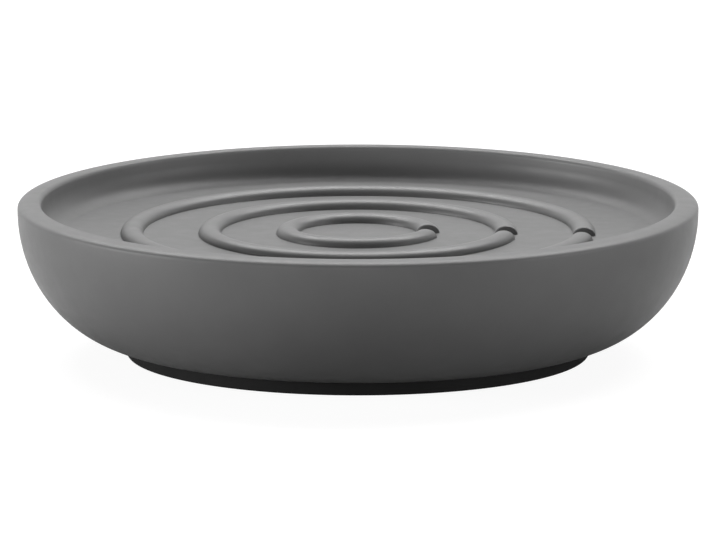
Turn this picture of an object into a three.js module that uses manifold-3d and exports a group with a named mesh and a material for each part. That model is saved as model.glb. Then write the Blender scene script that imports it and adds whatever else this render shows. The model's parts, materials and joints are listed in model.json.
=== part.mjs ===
// A round soap dish: a hollow moulded dish with a shallow tray on top, three drain ribs seated in the tray
// floor, a base plate that closes the hollow underneath, and a non-slip foot ring.
// Millimetres, +Z up. The origin is the centre of the face that the dish stands on.
import * as THREE from "three";
import { mergeVertices } from "three/addons/utils/BufferGeometryUtils.js";
import Module from "manifold-3d";

// Dish
const DISH_DIAMETER = 120;
const DISH_HEIGHT = 27.15;
const WALL_THICKNESS = 3.5;

// Lip: a low crown that is highest close to its inner edge and falls away outwards into the wall
const LIP_WIDTH = 4.2;
const LIP_CROWN = 0.65;
const LIP_INNER_ROUND = 0.8;

// Tray: how far its floor lies below the lip, and the fillet where the floor turns up into the lip
const TRAY_DEPTH = 5.75;
const TRAY_FILLET = 3.9;
const FLOOR_THICKNESS = 4;

// Drain ribs: round beads on a tongue that sits in a groove of the floor, all cut by one straight slot
const RIB_NAMES = ["rib_inner", "rib_middle", "rib_outer"];
const RIB_INNER_RADIUS = 12.4;
const RIB_EDGE_DISTANCE = 12.05;
const RIB_WIDTH = 4;
const RIB_HEIGHT = 1.5;
const RIB_TONGUE_WIDTH = 1.8;
const RIB_TONGUE_DEPTH = 1.2;
const DRAIN_SLOT_WIDTH = 4;

// Foot ring, held by a tongue in the base plate. Its outer edge is tucked under the curve of the wall.
const FOOT_DIAMETER = 81.5;
const FOOT_HEIGHT = 2.2;
const FOOT_TUCK = 2;
const FOOT_ROUND = 0.4;
const FOOT_LAND = 2;
const FOOT_TONGUE_WIDTH = 1.8;
const FOOT_TONGUE_HEIGHT = 1;

// Base plate, let into the flat underside of the dish and held up against a ledge there
const PLATE_THICKNESS = 2.4;
const PLATE_EDGE = 2;
const SEAT_LAND = 1.2;
const LEDGE_WIDTH = 3;

// Clearance beside a seated piece, and at the bottom of its groove
const SEAT_GAP = 0.15;

// Facets
const TURN_STEPS = 64;
const WALL_STEPS = 10;
const HOLLOW_STEPS = 4;
const CROWN_STEPS = 6;
const ROUND_STEPS = 3;
const FILLET_STEPS = 4;
const BEAD_STEPS = 7;

// Vertices nearer than this are one vertex
const WELD_DISTANCE = 1e-4;

const dishRadius = DISH_DIAMETER / 2;
const lipInnerRound = Math.min(LIP_INNER_ROUND, LIP_WIDTH / 2);
const widestLevel = DISH_HEIGHT - LIP_CROWN;
const trayRadius = dishRadius - LIP_WIDTH;
const crestRadius = trayRadius + lipInnerRound;
const floorLevel = DISH_HEIGHT - TRAY_DEPTH;
const trayFillet = Math.min(TRAY_FILLET, TRAY_DEPTH - 2 * lipInnerRound);
const flatFloorRadius = trayRadius - trayFillet;
const footRadius = FOOT_DIAMETER / 2;
const undersideRadius = footRadius - FOOT_TUCK;
const plateSeatRadius = undersideRadius - SEAT_LAND;
const plateRadius = plateSeatRadius - SEAT_GAP;
const ledgeLevel = FOOT_HEIGHT + PLATE_THICKNESS;
const footTongueOuter = plateRadius - PLATE_EDGE - SEAT_GAP;
const footTongueInner = footTongueOuter - FOOT_TONGUE_WIDTH;

const wasm = await Module();
wasm.setup();

// Points of an elliptical arc in the (radius, height) plane, angles in turns from +radius towards +height.
function arc(centreR, centreZ, radiusR, radiusZ, from, to, steps) {
  return Array.from({ length: steps + 1 }, (_, i) => {
    const angle = 2 * Math.PI * (from + ((to - from) * i) / steps);
    return new THREE.Vector2(centreR + radiusR * Math.cos(angle), centreZ + radiusZ * Math.sin(angle));
  });
}

function point(r, z) {
  return new THREE.Vector2(r, z);
}

// A turned solid about +Z. The outline runs anticlockwise round the material.
function turned(outline) {
  return new THREE.LatheGeometry(outline, TURN_STEPS).rotateX(Math.PI / 2);
}

// A turned ring, whose outline closes on itself.
function turnedRing(outline) {
  return turned([...outline, outline[0].clone()]);
}

function solidOf(geometry) {
  const bare = geometry.clone();
  bare.deleteAttribute("normal");
  bare.deleteAttribute("uv");
  const merged = mergeVertices(bare, WELD_DISTANCE);
  return new wasm.Manifold(
    new wasm.Mesh({
      numProp: 3,
      vertProperties: merged.attributes.position.array,
      triVerts: new Uint32Array(merged.index.array),
    }),
  );
}

function geometryOf(solid) {
  const mesh = solid.getMesh();
  const geometry = new THREE.BufferGeometry();
  geometry.setAttribute("position", new THREE.BufferAttribute(mesh.vertProperties, 3));
  geometry.setIndex(new THREE.BufferAttribute(mesh.triVerts, 1));
  geometry.computeVertexNormals();
  return geometry;
}

// A straight bar along +X from the axis to past the lip, through the floor and everything on it.
function slotBar(width) {
  const bar = new THREE.BoxGeometry(DISH_DIAMETER, width, DISH_HEIGHT);
  return solidOf(bar.translate(DISH_DIAMETER / 2, 0, floorLevel));
}

// The ribs lie at even steps from the innermost one to the one nearest the edge of the flat floor.
function ribRadius(index) {
  const outerRadius = flatFloorRadius - RIB_EDGE_DISTANCE;
  return RIB_INNER_RADIUS + ((outerRadius - RIB_INNER_RADIUS) * index) / (RIB_NAMES.length - 1);
}

function ribGroove(radius) {
  const halfWidth = RIB_TONGUE_WIDTH / 2 + SEAT_GAP;
  const bottom = floorLevel - RIB_TONGUE_DEPTH - SEAT_GAP;
  const top = floorLevel + RIB_HEIGHT;
  const ring = turnedRing([
    point(radius - halfWidth, bottom),
    point(radius + halfWidth, bottom),
    point(radius + halfWidth, top),
    point(radius - halfWidth, top),
  ]);
  return solidOf(ring).subtract(slotBar(DRAIN_SLOT_WIDTH - 2 * SEAT_GAP));
}

function rib(radius) {
  const tongue = RIB_TONGUE_WIDTH / 2;
  const ring = turnedRing([
    point(radius - tongue, floorLevel),
    point(radius - tongue, floorLevel - RIB_TONGUE_DEPTH),
    point(radius + tongue, floorLevel - RIB_TONGUE_DEPTH),
    point(radius + tongue, floorLevel),
    ...arc(radius, floorLevel, RIB_WIDTH / 2, RIB_HEIGHT, 0, 0.5, BEAD_STEPS),
  ]);
  return geometryOf(solidOf(ring).subtract(slotBar(DRAIN_SLOT_WIDTH)));
}

// The outer wall is a quarter ellipse, upright at its widest level and flat where it meets the underside.
// The hollow follows it one wall thickness inside, down to the top of the ledge.
function dishBody() {
  const wallRun = dishRadius - undersideRadius;
  const wallDrop = widestLevel - FOOT_HEIGHT;
  const hollowRun = wallRun - WALL_THICKNESS;
  const hollowDrop = wallDrop - WALL_THICKNESS;
  const ceiling = floorLevel - FLOOR_THICKNESS;
  const ledgeTop = ledgeLevel + WALL_THICKNESS;
  const ledgeRadius = plateSeatRadius - LEDGE_WIDTH;
  const innerLevel = DISH_HEIGHT - lipInnerRound;
  const hollowTurns = [ceiling, ledgeTop].map(
    (level) => -Math.asin((widestLevel - level) / hollowDrop) / (2 * Math.PI),
  );
  const body = turned([
    point(0, ceiling),
    ...arc(undersideRadius, widestLevel, hollowRun, hollowDrop, ...hollowTurns, HOLLOW_STEPS),
    point(ledgeRadius, ledgeTop),
    point(ledgeRadius, ledgeLevel),
    point(plateSeatRadius, ledgeLevel),
    point(plateSeatRadius, FOOT_HEIGHT),
    ...arc(undersideRadius, widestLevel, wallRun, wallDrop, -0.25, 0, WALL_STEPS),
    ...arc(crestRadius, widestLevel, dishRadius - crestRadius, LIP_CROWN, 0, 0.25, CROWN_STEPS).slice(1),
    ...arc(crestRadius, innerLevel, lipInnerRound, lipInnerRound, 0.25, 0.5, ROUND_STEPS).slice(1),
    ...arc(flatFloorRadius, floorLevel + trayFillet, trayFillet, trayFillet, 0, -0.25, FILLET_STEPS),
    point(0, floorLevel),
  ]);
  const grooved = RIB_NAMES.reduce(
    (solid, _, index) => solid.subtract(ribGroove(ribRadius(index))),
    solidOf(body),
  );
  return geometryOf(grooved);
}

function basePlate() {
  const grooveTop = FOOT_HEIGHT + FOOT_TONGUE_HEIGHT + SEAT_GAP;
  return turned([
    point(0, FOOT_HEIGHT),
    point(footTongueInner - SEAT_GAP, FOOT_HEIGHT),
    point(footTongueInner - SEAT_GAP, grooveTop),
    point(footTongueOuter + SEAT_GAP, grooveTop),
    point(footTongueOuter + SEAT_GAP, FOOT_HEIGHT),
    point(plateRadius, FOOT_HEIGHT),
    point(plateRadius, ledgeLevel),
    point(0, ledgeLevel),
  ]);
}

function footRing() {
  const innerRadius = footTongueInner - FOOT_LAND;
  const round = Math.min(FOOT_ROUND, FOOT_HEIGHT);
  const tongueTop = FOOT_HEIGHT + FOOT_TONGUE_HEIGHT;
  return turnedRing([
    point(innerRadius, FOOT_HEIGHT),
    ...arc(innerRadius + round, round, round, round, 0.5, 0.75, ROUND_STEPS),
    ...arc(footRadius - round, round, round, round, 0.75, 1, ROUND_STEPS),
    point(footRadius, FOOT_HEIGHT),
    point(footTongueOuter, FOOT_HEIGHT),
    point(footTongueOuter, tongueTop),
    point(footTongueInner, tongueTop),
    point(footTongueInner, FOOT_HEIGHT),
  ]);
}

function piece(name, geometry, material) {
  const mesh = new THREE.Mesh(geometry, material);
  mesh.name = name;
  return mesh;
}

const softTouchGrey = new THREE.MeshStandardMaterial({ color: 0x656565, roughness: 0.62, metalness: 0 });
const ribGrey = new THREE.MeshStandardMaterial({ color: 0x666666, roughness: 0.58, metalness: 0 });
const plateGrey = new THREE.MeshStandardMaterial({ color: 0x4a4a4a, roughness: 0.7, metalness: 0 });
const footRubber = new THREE.MeshStandardMaterial({ color: 0x2b2b2b, roughness: 0.85, metalness: 0 });

const soapDish = new THREE.Group();
soapDish.add(piece("dish_body", dishBody(), softTouchGrey));
RIB_NAMES.forEach((name, index) => soapDish.add(piece(name, rib(ribRadius(index)), ribGrey)));
soapDish.add(piece("base_plate", basePlate(), plateGrey));
soapDish.add(piece("foot_ring", footRing(), footRubber));

export default soapDish;
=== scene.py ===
"""A round soap dish in matt grey, standing on a plain pale table in soft studio light.

The dish is a hollow moulding with a shallow tray on top. Three split drain ribs sit on the tray floor, a
plate closes the hollow underneath, and a rubber ring is the foot; the ring's near-black grey is partly
its rubber and partly painted shade from under the dish. The pieces' sizes are in millimetres and become
metres where a mesh is made. Table, lamps and camera are placed in metres.
"""
import json
import logging
import math
from dataclasses import dataclass
from enum import Enum
from typing import Union

import bpy
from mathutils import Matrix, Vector

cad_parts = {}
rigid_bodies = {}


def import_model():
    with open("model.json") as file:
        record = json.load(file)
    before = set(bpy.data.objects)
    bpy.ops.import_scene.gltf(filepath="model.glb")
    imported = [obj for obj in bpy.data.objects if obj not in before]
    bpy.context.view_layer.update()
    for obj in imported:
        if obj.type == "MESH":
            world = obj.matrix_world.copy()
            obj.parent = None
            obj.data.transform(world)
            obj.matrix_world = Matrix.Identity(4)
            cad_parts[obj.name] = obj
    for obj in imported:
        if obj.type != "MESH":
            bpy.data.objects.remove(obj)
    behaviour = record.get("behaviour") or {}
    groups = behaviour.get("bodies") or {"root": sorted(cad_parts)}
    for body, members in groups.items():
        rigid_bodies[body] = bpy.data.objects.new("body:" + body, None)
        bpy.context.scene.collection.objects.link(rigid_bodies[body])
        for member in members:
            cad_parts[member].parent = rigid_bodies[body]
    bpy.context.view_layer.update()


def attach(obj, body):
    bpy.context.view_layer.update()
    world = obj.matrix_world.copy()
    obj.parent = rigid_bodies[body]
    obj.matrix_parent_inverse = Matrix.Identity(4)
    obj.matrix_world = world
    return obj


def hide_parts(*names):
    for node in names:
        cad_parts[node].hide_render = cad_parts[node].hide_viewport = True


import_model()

MM = 0.001
PHOTO_WIDTH = 716
BODY = "root"

# Faces that meet at more than this angle, in radians, keep a sharp edge between them.
SHARP_ANGLE = 0.6

# Vertices nearer than this, in millimetres, become one.
TURNED_WELD = 0.002
BEAD_WELD = 0.0005

# A row whose place along a bead is beyond this, on either side, is one of the bead's two ends.
END_ROW = 0.99999

# Steps of the turned pieces: round the axis, along the arcs of their outlines, and across the tray floor.
TURN_STEPS = 256
HOLLOW_STEPS = 24
WALL_STEPS = 72
CROWN_STEPS = 40
ROUND_STEPS = 12
FILLET_STEPS = 20
FLOOR_STEPS = 8

# The span in which nearly all values of a noise pattern lie, and how rough its finer layers are.
NOISE_SPAN = (0.3, 0.7)
NOISE_ROUGHNESS = 0.55

# How many finer layers the cloudiness, the dullness and the grain have.
CLOUD_DETAIL = 4.0
DULL_DETAIL = 3.0
GRAIN_DETAIL = 2.0

# The size of a dull patch as a share of a cloud's, and how strongly the grain is raised.
DULL_SHARE = 0.4
GRAIN_STRENGTH = 0.35

log = logging.getLogger("soap_dish")

Socket = bpy.types.NodeSocket
Value = Union[float, int, Socket]
Pair = tuple[float, float]
Outline = list[Pair]


class Slot(Enum):
    """The record's material slots."""

    DISH = "dish"
    RIBS = "ribs"
    PLATE = "plate"
    FOOT = "foot"


class RibPlace(Enum):
    """The three places of a drain rib on the tray floor, with the node that each stands for."""

    INNER = "rib_inner"
    MIDDLE = "rib_middle"
    OUTER = "rib_outer"


class NodeSheet:
    """Lays nodes into one tree and wires them."""

    def __init__(self, tree: bpy.types.NodeTree) -> None:
        """Keeps the tree that the nodes go into.

        Args:
            tree: A geometry or shader tree.
        """
        self.tree = tree

    def node(self, kind: str, **settings: object) -> bpy.types.Node:
        """Adds one node.

        Args:
            kind: The node's type name in Blender.
            settings: Properties of the node to set.

        Returns:
            The new node.
        """
        made = self.tree.nodes.new(kind)
        for name, value in settings.items():
            setattr(made, name, value)
        return made

    def feed(self, target: Socket, value: object) -> None:
        """Wires a socket to an input, or sets the input to a plain value.

        Args:
            target: The input socket.
            value: An output socket, or a value that the input can hold.
        """
        if isinstance(value, bpy.types.NodeSocket):
            self.tree.links.new(value, target)
        else:
            target.default_value = value

    def then(self, kind: str, source: Socket, **settings: object) -> bpy.types.Node:
        """Adds one node whose first input takes a socket.

        Args:
            kind: The node's type name in Blender.
            source: The output socket that goes in.
            settings: Properties of the node to set.

        Returns:
            The new node.
        """
        made = self.node(kind, **settings)
        self.feed(made.inputs[0], source)
        return made

    def operate(self, kind: str, operation: str, values: tuple[Value, ...]) -> Socket:
        """Adds a node that works on numbers.

        Args:
            kind: The node's type name in Blender.
            operation: The node's operation.
            values: Its inputs, as sockets or plain numbers.

        Returns:
            The node's output.
        """
        made = self.node(kind, operation=operation)
        for target, value in zip(made.inputs, values):
            self.feed(target, value)
        return made.outputs[0]

    def math(self, operation: str, *values: Value) -> Socket:
        """Adds a Math node and gives its output."""
        return self.operate("ShaderNodeMath", operation, values)

    def whole(self, operation: str, *values: Value) -> Socket:
        """Adds an Integer Math node and gives its output."""
        return self.operate("FunctionNodeIntegerMath", operation, values)

    def remap(self, value: Socket, given: Pair, wanted: Pair, **settings: object) -> Socket:
        """Adds a Map Range node.

        Args:
            value: The number to map.
            given: The range that it comes in.
            wanted: The range that it goes to.
            settings: Properties of the node to set.

        Returns:
            The mapped number.
        """
        made = self.then("ShaderNodeMapRange", value, **settings)
        for label, limit in zip(("From Min", "From Max", "To Min", "To Max"), (*given, *wanted)):
            made.inputs[label].default_value = limit
        return made.outputs[0]

    def polar(self, radius: Socket, angle: Socket, height: Socket) -> Socket:
        """Gives the position at a distance from the upright axis and an angle round it.

        Args:
            radius: The distance from the axis.
            angle: The angle in radians.
            height: The height.

        Returns:
            The position.
        """
        place = self.node("ShaderNodeCombineXYZ")
        self.feed(place.inputs["X"], self.math("MULTIPLY", radius, self.math("COSINE", angle)))
        self.feed(place.inputs["Y"], self.math("MULTIPLY", radius, self.math("SINE", angle)))
        self.feed(place.inputs["Z"], height)
        return place.outputs[0]


def bare_sheet(owner: Union[bpy.types.Material, bpy.types.World]) -> NodeSheet:
    """Turns on an owner's nodes and clears them.

    Args:
        owner: A material or a world.

    Returns:
        The owner's empty node sheet.
    """
    owner.use_nodes = True
    owner.node_tree.nodes.clear()
    return NodeSheet(owner.node_tree)


def add_object(name: str, data: bpy.types.ID) -> bpy.types.Object:
    """Adds an object to the scene.

    Args:
        name: The object's name.
        data: Its mesh, lamp or camera.

    Returns:
        The new object.
    """
    made = bpy.data.objects.new(name, data)
    bpy.context.scene.collection.objects.link(made)
    return made


def neutral(level: float) -> tuple[float, float, float, float]:
    """Gives the opaque neutral grey of a level."""
    return (level, level, level, 1.0)


class ShapeTree:
    """A Geometry Nodes tree that makes one closed piece and can be set on any object."""

    def __init__(self, name: str) -> None:
        """Starts an empty tree with one geometry output.

        Args:
            name: The tree's name.
        """
        self.tree = bpy.data.node_groups.new(name, "GeometryNodeTree")
        self.tree.interface.new_socket("Geometry", in_out="OUTPUT", socket_type="NodeSocketGeometry")
        self.sheet = NodeSheet(self.tree)
        self.ids: dict[str, str] = {}

    def add_input(self, name: str, kind: str) -> None:
        """Adds a named input to the tree.

        Args:
            name: What the input is called.
            kind: The socket type.
        """
        made = self.tree.interface.new_socket(name, in_out="INPUT", socket_type=kind)
        self.ids[name] = made.identifier

    def grid_places(self, rows: Value, columns: Value) -> tuple[Socket, Socket, Socket]:
        """Adds a grid of vertices and the row and column number of each vertex.

        Args:
            rows: How many rows of vertices.
            columns: How many vertices in a row.

        Returns:
            The grid's mesh, the row number and the column number.
        """
        sheet = self.sheet
        grid = sheet.node("GeometryNodeMeshGrid")
        sheet.feed(grid.inputs["Vertices X"], rows)
        sheet.feed(grid.inputs["Vertices Y"], columns)
        index = sheet.node("GeometryNodeInputIndex").outputs[0]
        row = sheet.whole("DIVIDE_FLOOR", index, columns)
        column = sheet.whole("MODULO", index, columns)
        return grid.outputs["Mesh"], row, column

    def end_with(self, mesh: Socket, position: Socket, weld: Value, finish: Socket) -> None:
        """Moves the grid into its shape, closes its seams and gives it its finish.

        Args:
            mesh: The grid's mesh.
            position: Where each vertex goes.
            weld: Vertices nearer than this become one.
            finish: The material.
        """
        sheet = self.sheet
        placed = sheet.then("GeometryNodeSetPosition", mesh)
        sheet.feed(placed.inputs["Position"], position)
        welded = sheet.then("GeometryNodeMergeByDistance", placed.outputs[0])
        sheet.feed(welded.inputs["Distance"], weld)
        smooth = sheet.then("GeometryNodeSetShadeSmooth", welded.outputs[0], domain="FACE")
        sharp = sheet.then("GeometryNodeSetShadeSmooth", smooth.outputs[0], domain="EDGE")
        angle = sheet.node("GeometryNodeInputMeshEdgeAngle").outputs[0]
        sheet.feed(sharp.inputs["Selection"], sheet.math("GREATER_THAN", angle, SHARP_ANGLE))
        sharp.inputs["Shade Smooth"].default_value = False
        real = sheet.then("GeometryNodeRealizeInstances", sharp.outputs[0])
        dressed = sheet.then("GeometryNodeSetMaterial", real.outputs[0])
        sheet.feed(dressed.inputs["Material"], finish)
        sheet.then("NodeGroupOutput", dressed.outputs[0])

    def make(self, name: str, start: bpy.types.Mesh, values: dict[str, object]) -> bpy.types.Object:
        """Runs the tree once and keeps its result as a plain mesh object.

        Args:
            name: The piece's name.
            start: The mesh that the tree is given.
            values: The tree's inputs by name.

        Returns:
            The finished object, with no modifier left on it.
        """
        holder = add_object(name + "_start", start)
        modifier = holder.modifiers.new("shape", "NODES")
        modifier.node_group = self.tree
        for label, value in values.items():
            modifier[self.ids[label]] = value
        graph = bpy.context.evaluated_depsgraph_get()
        mesh = bpy.data.meshes.new_from_object(holder.evaluated_get(graph), depsgraph=graph)
        bpy.data.objects.remove(holder)
        mesh.name = name
        return add_object(name, mesh)


class TurnedTree(ShapeTree):
    """Turns an outline about the upright axis, as a moulding that is round all the way."""

    def __init__(self) -> None:
        """Builds the tree: each grid row is one outline point, carried round by the column's angle."""
        super().__init__("turned_piece")
        self.add_input("Outline", "NodeSocketGeometry")
        self.add_input("Turn Steps", "NodeSocketInt")
        self.add_input("Weld Distance", "NodeSocketFloat")
        self.add_input("Finish", "NodeSocketMaterial")
        sheet = self.sheet
        given = sheet.node("NodeGroupInput").outputs
        count = sheet.then("GeometryNodeAttributeDomainSize", given["Outline"], component="MESH")
        columns = sheet.whole("ADD", given["Turn Steps"], 1)
        mesh, row, column = self.grid_places(count.outputs["Point Count"], columns)
        sample = sheet.then("GeometryNodeSampleIndex", given["Outline"], data_type="FLOAT_VECTOR")
        sheet.feed(sample.inputs["Value"], sheet.node("GeometryNodeInputPosition").outputs[0])
        sheet.feed(sample.inputs["Index"], row)
        point = sheet.then("ShaderNodeSeparateXYZ", sample.outputs[0]).outputs
        share = sheet.math("DIVIDE", column, given["Turn Steps"])
        angle = sheet.math("MULTIPLY", share, -2.0 * math.pi)
        place = sheet.polar(point["X"], angle, point["Z"])
        self.end_with(mesh, place, given["Weld Distance"], given["Finish"])

    def turn(
        self, name: str, outline: Outline, finish: bpy.types.Material, closed: bool
    ) -> bpy.types.Object:
        """Turns one outline into a finished piece.

        Args:
            name: The piece's name.
            outline: Radius and height of each point in millimetres, anticlockwise round the material.
            finish: The piece's material.
            closed: Whether the outline closes on itself, as a ring's does.

        Returns:
            The finished object.
        """
        points = outline + outline[:1] if closed else outline
        start = bpy.data.meshes.new(name + "_outline")
        spread = [(r * MM, 0.0, z * MM) for r, z in points]
        start.from_pydata(spread, [(i, i + 1) for i in range(len(spread) - 1)], [])
        values = {"Turn Steps": TURN_STEPS, "Weld Distance": TURNED_WELD * MM, "Finish": finish}
        return self.make(name, start, values)


class SplitBeadTree(ShapeTree):
    """A bead bent round nearly a full turn, whose two ends stand at the sides of one straight slot."""

    LENGTHS = (
        "Radius",
        "Bead Width",
        "Bead Height",
        "Slot Width",
        "End Round",
        "Seat Level",
        "Sink",
        "Weld Distance",
    )
    COUNTS = ("Path Steps", "Section Steps")

    def __init__(self) -> None:
        """Builds the tree: rows run along the bead and columns round its section."""
        super().__init__("split_bead")
        self.add_input("Geometry", "NodeSocketGeometry")
        for name in self.LENGTHS:
            self.add_input(name, "NodeSocketFloat")
        for name in self.COUNTS:
            self.add_input(name, "NodeSocketInt")
        self.add_input("Finish", "NodeSocketMaterial")
        sheet = self.sheet
        given = sheet.node("NodeGroupInput").outputs
        rows = sheet.whole("ADD", given["Path Steps"], 1)
        columns = sheet.whole("ADD", given["Section Steps"], 1)
        mesh, row, column = self.grid_places(rows, columns)
        along, present = self.path_share(row, given)
        inset = self.end_inset(along, given)
        across, up = self.section(column, inset, present, given)
        place = self.bend(along, across, up, given)
        self.end_with(mesh, place, given["Weld Distance"], given["Finish"])

    def path_share(self, row: Socket, given: bpy.types.NodeOutputs) -> tuple[Socket, Socket]:
        """Spaces the rows along the bead, closer together towards the two ends.

        Args:
            row: The row number.
            given: The tree's inputs.

        Returns:
            The place along the bead from -1 to 1, and 0 at the two end rows or 1 elsewhere.
        """
        sheet = self.sheet
        share = sheet.math("DIVIDE", row, given["Path Steps"])
        even = sheet.math("MULTIPLY_ADD", share, 2.0, -1.0)
        along = sheet.math("SINE", sheet.math("MULTIPLY", even, math.pi / 2.0))
        present = sheet.math("LESS_THAN", sheet.math("ABSOLUTE", even), END_ROW)
        return along, present

    def end_inset(self, along: Socket, given: bpy.types.NodeOutputs) -> Socket:
        """Gives how far the section is drawn in near an end, so that the cut edge is rounded over.

        Args:
            along: The place along the bead from -1 to 1.
            given: The tree's inputs.

        Returns:
            The inset as a length.
        """
        sheet = self.sheet
        half = sheet.math("MULTIPLY", given["Radius"], math.pi)
        left = sheet.math("MULTIPLY", sheet.math("SUBTRACT", 1.0, sheet.math("ABSOLUTE", along)), half)
        short = sheet.math("MAXIMUM", sheet.math("SUBTRACT", given["End Round"], left), 0.0)
        square = sheet.math("MULTIPLY", given["End Round"], given["End Round"])
        rest = sheet.math("SUBTRACT", square, sheet.math("MULTIPLY", short, short))
        kept = sheet.math("SQRT", sheet.math("MAXIMUM", rest, 0.0))
        return sheet.math("SUBTRACT", given["End Round"], kept)

    def section(
        self, column: Socket, inset: Socket, present: Socket, given: bpy.types.NodeOutputs
    ) -> tuple[Socket, Socket]:
        """Shapes the bead's section: a half-round top, and a shallow keel under it.

        Args:
            column: The column number.
            inset: How far the section is drawn in.
            present: 0 where the section shrinks to a point, which closes an end, and 1 elsewhere.
            given: The tree's inputs.

        Returns:
            The distance from the bead's centre line, and the height.
        """
        sheet = self.sheet
        share = sheet.math("DIVIDE", column, given["Section Steps"])
        angle = sheet.math("MULTIPLY", share, 2.0 * math.pi)
        sine = sheet.math("SINE", angle)
        half_width = sheet.math("SUBTRACT", sheet.math("MULTIPLY", given["Bead Width"], 0.5), inset)
        sideways = sheet.math("MULTIPLY", half_width, sheet.math("COSINE", angle))
        across = sheet.math("MULTIPLY", sideways, present)
        height = sheet.math("SUBTRACT", given["Bead Height"], inset)
        top = sheet.math("MULTIPLY", height, sheet.math("MAXIMUM", sine, 0.0))
        keel = sheet.math("MULTIPLY", given["Sink"], sheet.math("MINIMUM", sine, 0.0))
        raised = sheet.math("MULTIPLY", sheet.math("ADD", top, keel), present)
        return across, sheet.math("ADD", raised, given["Seat Level"])

    def bend(self, along: Socket, across: Socket, up: Socket, given: bpy.types.NodeOutputs) -> Socket:
        """Bends the bead round the axis between the slot's two sides.

        Args:
            along: The place along the bead from -1 to 1.
            across: The distance from the bead's centre line.
            up: The height.
            given: The tree's inputs.

        Returns:
            The position of each vertex.
        """
        sheet = self.sheet
        radius = sheet.math("ADD", given["Radius"], across)
        half_slot = sheet.math("MULTIPLY", given["Slot Width"], 0.5)
        first = sheet.math("ARCSINE", sheet.math("DIVIDE", half_slot, radius))
        reach = sheet.math("SUBTRACT", math.pi, first)
        angle = sheet.math("MULTIPLY_ADD", along, reach, math.pi)
        return sheet.polar(radius, angle, up)


@dataclass(frozen=True)
class MattFinish:
    """A dull grey finish with a faint cloudiness and a fine grain, as soft coating or rubber has."""

    name: str
    grey: float
    cloud: float
    roughness: float
    roughness_spread: float
    specular: float
    grain_size: float
    grain_depth: float
    cloud_size: float = 9.0

    def material(self) -> bpy.types.Material:
        """Builds the node material.

        Returns:
            The material.
        """
        made = bpy.data.materials.new(self.name)
        sheet = bare_sheet(made)
        place = sheet.node("ShaderNodeTexCoord").outputs["Object"]
        shader = sheet.node("ShaderNodeBsdfPrincipled")
        shader.inputs["Specular IOR Level"].default_value = self.specular
        sheet.feed(shader.inputs["Base Color"], self.colour(sheet, place))
        sheet.feed(shader.inputs["Roughness"], self.dullness(sheet, place))
        sheet.feed(shader.inputs["Normal"], self.grain(sheet, place))
        sheet.then("ShaderNodeOutputMaterial", shader.outputs[0])
        return made

    def noise(self, sheet: NodeSheet, place: Socket, size: float, detail: float) -> Socket:
        """Adds a noise pattern of one feature size.

        Args:
            sheet: The material's node sheet.
            place: Object coordinates.
            size: The size of a feature in millimetres.
            detail: How many finer layers it has.

        Returns:
            The pattern, from 0 to 1.
        """
        made = sheet.then("ShaderNodeTexNoise", place, noise_dimensions="3D")
        made.inputs["Scale"].default_value = 1.0 / (size * MM)
        made.inputs["Detail"].default_value = detail
        made.inputs["Roughness"].default_value = NOISE_ROUGHNESS
        return made.outputs[0]

    def colour(self, sheet: NodeSheet, place: Socket) -> Socket:
        """Gives the grey its faint cloudiness.

        Args:
            sheet: The material's node sheet.
            place: Object coordinates.

        Returns:
            The colour.
        """
        ramp = sheet.then("ShaderNodeValToRGB", self.noise(sheet, place, self.cloud_size, CLOUD_DETAIL))
        shares = (1.0 - self.cloud, 1.0 + self.cloud)
        for element, position, share in zip(ramp.color_ramp.elements, NOISE_SPAN, shares):
            element.position = position
            element.color = neutral(self.grey * share)
        return ramp.outputs[0]

    def dullness(self, sheet: NodeSheet, place: Socket) -> Socket:
        """Varies the roughness a little over the surface.

        Args:
            sheet: The material's node sheet.
            place: Object coordinates.

        Returns:
            The roughness.
        """
        patches = self.noise(sheet, place, self.cloud_size * DULL_SHARE, DULL_DETAIL)
        limits = (self.roughness - self.roughness_spread, self.roughness + self.roughness_spread)
        return sheet.remap(patches, NOISE_SPAN, limits)

    def grain(self, sheet: NodeSheet, place: Socket) -> Socket:
        """Raises the fine grain of the surface.

        Args:
            sheet: The material's node sheet.
            place: Object coordinates.

        Returns:
            The surface normal.
        """
        bump = sheet.node("ShaderNodeBump")
        bump.inputs["Strength"].default_value = GRAIN_STRENGTH
        bump.inputs["Distance"].default_value = self.grain_depth * MM
        sheet.feed(bump.inputs["Height"], self.noise(sheet, place, self.grain_size, GRAIN_DETAIL))
        return bump.outputs[0]


SOFT_TOUCH = MattFinish(
    name="soft_touch_grey",
    grey=0.13,
    cloud=0.03,
    roughness=0.46,
    roughness_spread=0.03,
    specular=0.2,
    grain_size=0.35,
    grain_depth=0.02,
)
BEAD_GREY = MattFinish(
    name="bead_grey",
    grey=0.13,
    cloud=0.03,
    roughness=0.42,
    roughness_spread=0.03,
    specular=0.26,
    grain_size=0.3,
    grain_depth=0.015,
)
PLATE_GREY = MattFinish(
    name="plain_moulded_grey",
    grey=0.07,
    cloud=0.04,
    roughness=0.6,
    roughness_spread=0.05,
    specular=0.4,
    grain_size=0.5,
    grain_depth=0.03,
)
# The foot's near-black grey is partly the rubber's own colour and partly painted shade, standing in for the
# shade under the dish.
FOOT_RUBBER_AND_PAINTED_SHADE = MattFinish(
    name="foot_rubber_painted_shade",
    grey=0.015,
    cloud=0.06,
    roughness=0.8,
    roughness_spread=0.06,
    specular=0.05,
    grain_size=0.4,
    grain_depth=0.03,
)


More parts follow.
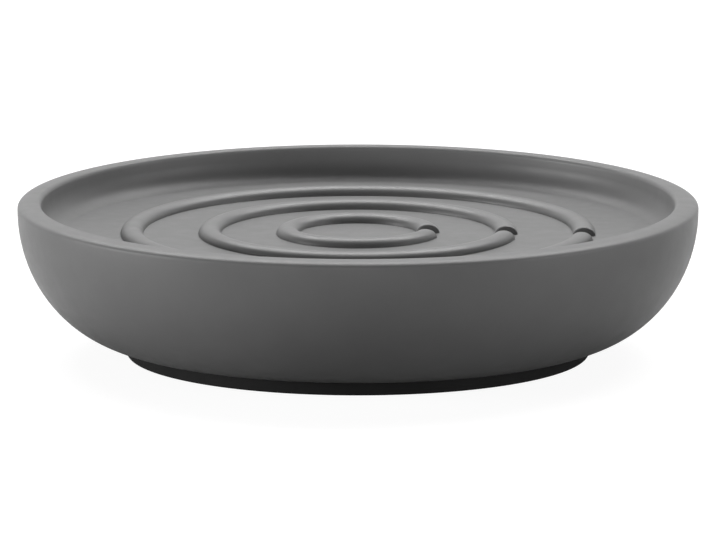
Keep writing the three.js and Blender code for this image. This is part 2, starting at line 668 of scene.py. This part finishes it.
def arc(centre: Pair, radii: Pair, turn: Pair, steps: int, fullness: float = 2.0) -> Outline:
    """Points of an arc in the radius and height plane.

    Args:
        centre: Radius and height of the arc's centre.
        radii: Its half-widths along the radius and the height.
        turn: Its first and last angle, in turns from outwards towards upwards.
        steps: How many steps it has.
        fullness: 2 for an ellipse, and more where the arc swells towards its corner.

    Returns:
        The points, both ends included.
    """
    power = 2.0 / fullness
    points = []
    for i in range(steps + 1):
        angle = 2.0 * math.pi * (turn[0] + (turn[1] - turn[0]) * i / steps)
        out = math.copysign(abs(math.cos(angle)) ** power, math.cos(angle))
        up = math.copysign(abs(math.sin(angle)) ** power, math.sin(angle))
        points.append((centre[0] + radii[0] * out, centre[1] + radii[1] * up))
    return points


def seat(piece: bpy.types.Object, node: str) -> None:
    """Puts a finished piece on the dish's body in place of its solid, and reports it.

    Args:
        piece: The finished object.
        node: The solid that it stands for.
    """
    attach(piece, BODY)
    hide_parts(node)
    log.info("%s: %d faces, stands for %s", piece.name, len(piece.data.polygons), node)


@dataclass
class DishShell:
    """The hollow moulding: a bowl-shaped wall, a shallow tray, and a lip that falls away outwards."""

    diameter: float = 120.0
    height: float = 27.15
    lip_width: float = 4.2
    lip_crown: float = 1.2
    lip_fullness: float = 2.6
    lip_inner_round: float = 0.8
    wall: float = 3.5
    tray_depth: float = 5.75
    tray_fillet: float = 3.9
    floor_thickness: float = 4.0
    underside_level: float = 2.2
    underside_radius: float = 38.75
    seat_land: float = 1.2
    ledge_level: float = 4.6
    ledge_width: float = 3.0

    @property
    def floor_level(self) -> float:
        """Height of the tray floor."""
        return self.height - self.tray_depth

    @property
    def flat_radius(self) -> float:
        """Radius at which the flat tray floor starts to turn up."""
        return self.diameter / 2.0 - self.lip_width - self.tray_fillet

    @property
    def widest_level(self) -> float:
        """Height at which the wall is widest and stands upright."""
        return self.height - self.lip_crown

    @property
    def wall_centre(self) -> Pair:
        """Centre of the two quarter ellipses that the wall's faces follow."""
        return (self.underside_radius, self.widest_level)

    def hollow(self) -> Outline:
        """The inside of the moulding, from its ceiling down to the seat of the plate.

        Returns:
            The points of that part of the outline.
        """
        run = self.diameter / 2.0 - self.underside_radius - self.wall
        drop = self.widest_level - self.underside_level - self.wall
        ceiling = self.floor_level - self.floor_thickness
        ledge_top = self.ledge_level + self.wall
        first, last = (
            -math.asin((self.widest_level - z) / drop) / (2.0 * math.pi) for z in (ceiling, ledge_top)
        )
        seat_radius = self.underside_radius - self.seat_land
        ledge_radius = seat_radius - self.ledge_width
        return [
            (0.0, ceiling),
            *arc(self.wall_centre, (run, drop), (first, last), HOLLOW_STEPS),
            (ledge_radius, ledge_top),
            (ledge_radius, self.ledge_level),
            (seat_radius, self.ledge_level),
            (seat_radius, self.underside_level),
        ]

    def outside(self) -> Outline:
        """The wall from the underside up to the lip, and over it.

        Returns:
            The points of that part of the outline.
        """
        rim = self.diameter / 2.0
        run = rim - self.underside_radius
        drop = self.widest_level - self.underside_level
        crest = rim - self.lip_width + self.lip_inner_round
        crown = (rim - crest, self.lip_crown)
        inner = (crest, self.height - self.lip_inner_round)
        rounds = (self.lip_inner_round, self.lip_inner_round)
        return [
            *arc(self.wall_centre, (run, drop), (-0.25, 0.0), WALL_STEPS),
            *arc((crest, self.widest_level), crown, (0.0, 0.25), CROWN_STEPS, self.lip_fullness)[1:],
            *arc(inner, rounds, (0.25, 0.5), ROUND_STEPS)[1:],
        ]

    def tray(self) -> Outline:
        """The tray from the lip down and across the floor to the axis.

        Returns:
            The points of that part of the outline.
        """
        centre = (self.flat_radius, self.floor_level + self.tray_fillet)
        fillet = arc(centre, (self.tray_fillet, self.tray_fillet), (0.0, -0.25), FILLET_STEPS)
        shares = [i / FLOOR_STEPS for i in reversed(range(FLOOR_STEPS))]
        return [*fillet, *((self.flat_radius * share, self.floor_level) for share in shares)]

    def build(self, turner: TurnedTree) -> None:
        """Makes the moulding and seats it.

        Args:
            turner: The tree that turns an outline.
        """
        outline = [*self.hollow(), *self.outside(), *self.tray()]
        piece = turner.turn("dish_shell", outline, SOFT_TOUCH.material(), closed=False)
        seat(piece, "dish_body")


@dataclass
class DrainRibs:
    """Three split beads on the tray floor, all cut by one straight slot."""

    floor_level: float
    flat_radius: float
    inner_radius: float = 12.4
    edge_distance: float = 12.05
    width: float = 4.0
    height: float = 1.5
    slot_width: float = 4.0
    end_round: float = 0.35
    sink: float = 0.05
    path_steps: tuple[int, ...] = (220, 340, 460)
    section_steps: int = 48

    def radius(self, place: RibPlace) -> float:
        """Radius of a rib's centre line: the three lie at even steps.

        Args:
            place: Which rib.

        Returns:
            The radius in millimetres.
        """
        places = list(RibPlace)
        outer = self.flat_radius - self.edge_distance
        return self.inner_radius + (outer - self.inner_radius) * places.index(place) / (len(places) - 1)

    def build(self) -> None:
        """Makes the three ribs and seats them."""
        bender = SplitBeadTree()
        finish = BEAD_GREY.material()
        for place, steps in zip(RibPlace, self.path_steps):
            start = bpy.data.meshes.new(place.value + "_start")
            lengths = {
                "Radius": self.radius(place),
                "Bead Width": self.width,
                "Bead Height": self.height,
                "Slot Width": self.slot_width,
                "End Round": self.end_round,
                "Seat Level": self.floor_level,
                "Sink": self.sink,
                "Weld Distance": BEAD_WELD,
            }
            values = {label: length * MM for label, length in lengths.items()}
            values |= {"Path Steps": steps, "Section Steps": self.section_steps, "Finish": finish}
            piece = bender.make("drain_" + place.value, start, values)
            seat(piece, place.value)


@dataclass
class Underside:
    """The plate that closes the hollow, and the rubber ring that the dish stands on."""

    level: float
    plate_top: float
    plate_radius: float = 37.4
    plate_edge: float = 2.0
    gap: float = 0.15
    foot_radius: float = 40.75
    foot_round: float = 0.4
    foot_land: float = 2.0
    tongue_width: float = 1.8
    tongue_height: float = 1.0

    @property
    def tongue_outer(self) -> float:
        """Outer radius of the foot's tongue."""
        return self.plate_radius - self.plate_edge - self.gap

    @property
    def tongue_inner(self) -> float:
        """Inner radius of the foot's tongue."""
        return self.tongue_outer - self.tongue_width

    def plate(self) -> Outline:
        """The plate with the groove for the foot's tongue.

        Returns:
            The outline from the axis round to the axis.
        """
        groove_top = self.level + self.tongue_height + self.gap
        groove = (self.tongue_inner - self.gap, self.tongue_outer + self.gap)
        return [
            (0.0, self.level),
            (groove[0], self.level),
            (groove[0], groove_top),
            (groove[1], groove_top),
            (groove[1], self.level),
            (self.plate_radius, self.level),
            (self.plate_radius, self.plate_top),
            (0.0, self.plate_top),
        ]

    def foot(self) -> Outline:
        """The foot ring with its tongue.

        Returns:
            The closed outline.
        """
        inner = self.tongue_inner - self.foot_land
        rounds = (self.foot_round, self.foot_round)
        tongue_top = self.level + self.tongue_height
        return [
            (inner, self.level),
            *arc((inner + self.foot_round, self.foot_round), rounds, (0.5, 0.75), ROUND_STEPS),
            *arc((self.foot_radius - self.foot_round, self.foot_round), rounds, (0.75, 1.0), ROUND_STEPS),
            (self.foot_radius, self.level),
            (self.tongue_outer, self.level),
            (self.tongue_outer, tongue_top),
            (self.tongue_inner, tongue_top),
            (self.tongue_inner, self.level),
        ]

    def build(self, turner: TurnedTree) -> None:
        """Makes the plate and the foot and seats them.

        Args:
            turner: The tree that turns an outline.
        """
        plate = turner.turn("closing_plate", self.plate(), PLATE_GREY.material(), closed=False)
        seat(plate, "base_plate")
        # The foot's finish carries painted shade in its near-black grey.
        foot = turner.turn("rubber_foot", self.foot(), FOOT_RUBBER_AND_PAINTED_SHADE.material(), closed=True)
        seat(foot, "foot_ring")


@dataclass
class Softbox:
    """A large soft lamp that looks at one point."""

    name: str
    place: tuple[float, float, float]
    aim: tuple[float, float, float]
    size: Pair
    power: float

    def build(self) -> None:
        """Adds the lamp to the scene."""
        lamp = bpy.data.lights.new(self.name, "AREA")
        lamp.shape = "RECTANGLE"
        lamp.size, lamp.size_y = self.size
        lamp.energy = self.power
        holder = add_object(self.name, lamp)
        holder.location = self.place
        direction = Vector(self.aim) - Vector(self.place)
        holder.rotation_euler = direction.to_track_quat("-Z", "Y").to_euler()
        holder.visible_camera = False
        log.info("lamp %s", self.name)


@dataclass
class Studio:
    """Plain pale table, white surroundings, and soft lamps."""

    half_table: float = 6.0
    table_grey: float = 0.8
    dim_grey: float = 0.05
    dim_world: float = 0.02
    high_world: float = 0.25
    fade: Pair = (0.25, 0.75)
    shade_share: float = 0.2
    white_share: float = 0.92
    aim: tuple[float, float, float] = (0.0, 0.0, 0.02)

    def seen(self, sheet: NodeSheet) -> tuple[Socket, Socket]:
        """Tells the rays that show the background from those that only carry light.

        Args:
            sheet: A shader's node sheet.

        Returns:
            1 for glossy and transmission rays, and 1 for camera rays. Each is 0 for the rest.
        """
        path = sheet.node("ShaderNodeLightPath").outputs
        mirrored = sheet.math("MAXIMUM", path["Is Glossy Ray"], path["Is Transmission Ray"])
        return mirrored, path["Is Camera Ray"]

    def dull(self, sheet: NodeSheet, grey: float) -> Socket:
        """Adds a plain diffuse surface.

        Args:
            sheet: A shader's node sheet.
            grey: The surface's grey.

        Returns:
            The shader.
        """
        made = sheet.node("ShaderNodeBsdfDiffuse")
        made.inputs["Color"].default_value = neutral(grey)
        return made.outputs[0]

    def choose(self, sheet: NodeSheet, switch: Socket, off: Socket, on: Socket) -> Socket:
        """Shows one of two shaders.

        Args:
            sheet: A shader's node sheet.
            switch: 0 or 1.
            off: The shader that shows at 0.
            on: The shader that shows at 1.

        Returns:
            The joined shader.
        """
        made = sheet.then("ShaderNodeMixShader", switch)
        sheet.feed(made.inputs[1], off)
        sheet.feed(made.inputs[2], on)
        return made.outputs[0]

    def table_material(self) -> bpy.types.Material:
        """Builds the table's material: white where it is seen, pale in a mirror, dim where it only lights.

        Returns:
            The material.
        """
        made = bpy.data.materials.new("pale_table")
        sheet = bare_sheet(made)
        mirrored, direct = self.seen(sheet)
        glow = sheet.node("ShaderNodeEmission")
        glow.inputs["Strength"].default_value = self.white_share
        white = sheet.then("ShaderNodeAddShader", self.dull(sheet, self.shade_share))
        sheet.feed(white.inputs[1], glow.outputs[0])
        dim = self.dull(sheet, self.dim_grey)
        pale = self.choose(sheet, mirrored, dim, self.dull(sheet, self.table_grey))
        top_coat = self.choose(sheet, direct, pale, white.outputs[0])
        sheet.then("ShaderNodeOutputMaterial", top_coat)
        return made

    def table(self) -> None:
        """Adds the table top."""
        mesh = bpy.data.meshes.new("table_top")
        reach = self.half_table
        corners = [(-reach, -reach, 0.0), (reach, -reach, 0.0), (reach, reach, 0.0), (-reach, reach, 0.0)]
        mesh.from_pydata(corners, [], [(0, 1, 2, 3)])
        mesh.materials.append(self.table_material())
        top = add_object("table_top", mesh)

    def surroundings(self) -> None:
        """Sets the world: white where it is seen, less so high up in a mirror, dim where it only lights."""
        world = bpy.data.worlds.new("white_surroundings")
        sheet = bare_sheet(world)
        mirrored, direct = self.seen(sheet)
        way = sheet.then("ShaderNodeSeparateXYZ", sheet.node("ShaderNodeTexCoord").outputs["Generated"])
        limits = (1.0, self.high_world)
        falling = sheet.remap(way.outputs["Z"], self.fade, limits, interpolation_type="SMOOTHSTEP")
        shown = sheet.math("MAXIMUM", sheet.math("MULTIPLY", mirrored, falling), direct)
        back = sheet.node("ShaderNodeBackground")
        back.inputs["Color"].default_value = neutral(1.0)
        sheet.feed(back.inputs["Strength"], sheet.math("MAXIMUM", shown, self.dim_world))
        sheet.then("ShaderNodeOutputWorld", back.outputs[0])
        bpy.context.scene.world = world

    def lamps(self) -> list[Softbox]:
        """Names the lamps: each with its place, its aim, its width and height, and its power.

        Returns:
            The soft lamps of the studio.
        """
        return [
            Softbox("back_key", (0.0, 0.74, 1.06), self.aim, (1.6, 0.6), 27.5),
            Softbox("overhead", (-0.1, 0.42, 1.2), self.aim, (1.4, 0.6), 3.0),
            Softbox("left_mid", (-1.3, -0.45, 0.38), self.aim, (0.6, 0.4), 2.5),
            Softbox("left_low", (-1.4, -0.35, 0.15), self.aim, (0.8, 0.24), 17.0),
            Softbox("right_mid", (1.3, -0.2, 0.45), self.aim, (0.6, 0.4), 2.0),
            Softbox("right_low", (1.4, -0.3, 0.15), self.aim, (0.8, 0.24), 7.0),
            Softbox("front_low", (0.0, -1.4, 0.055), self.aim, (1.4, 0.1), 6.5),
        ]

    def build(self) -> None:
        """Adds the table, the surroundings and the lamps."""
        self.table()
        self.surroundings()
        for lamp in self.lamps():
            lamp.build()


@dataclass
class PhotoCamera:
    """A long lens a little above the table, turned so that the drain slot shows on the right."""

    distance: float = 4.0
    azimuth: float = 6.0
    elevation: float = 10.35
    aim_height: float = 14.9
    pixels_per_mm: float = 5.674
    sensor: float = 36.0
    clip_end: float = 20.0

    def build(self) -> None:
        """Adds the camera and makes it the scene's own."""
        data = bpy.data.cameras.new("photo_camera")
        data.sensor_width = self.sensor
        data.lens = self.pixels_per_mm / MM * self.distance * self.sensor / PHOTO_WIDTH
        data.clip_end = self.clip_end
        camera = add_object("photo_camera", data)
        turn = math.radians(self.azimuth)
        tilt = math.radians(self.elevation)
        back = Vector((math.sin(turn) * math.cos(tilt), -math.cos(turn) * math.cos(tilt), math.sin(tilt)))
        camera.location = Vector((0.0, 0.0, self.aim_height * MM)) + back * self.distance
        camera.rotation_euler = (-back).to_track_quat("-Z", "Y").to_euler()
        bpy.context.scene.camera = camera


def main() -> None:
    """Builds the dish, the studio and the camera."""
    logging.basicConfig(level=logging.INFO, format="%(name)s: %(message)s")
    bpy.context.scene.view_settings.view_transform = "Standard"
    turner = TurnedTree()
    shell = DishShell()
    shell.build(turner)
    DrainRibs(shell.floor_level, shell.flat_radius).build()
    Underside(shell.underside_level, shell.ledge_level).build(turner)
    Studio().build()
    PhotoCamera().build()


if __name__ == "__main__":
    main()
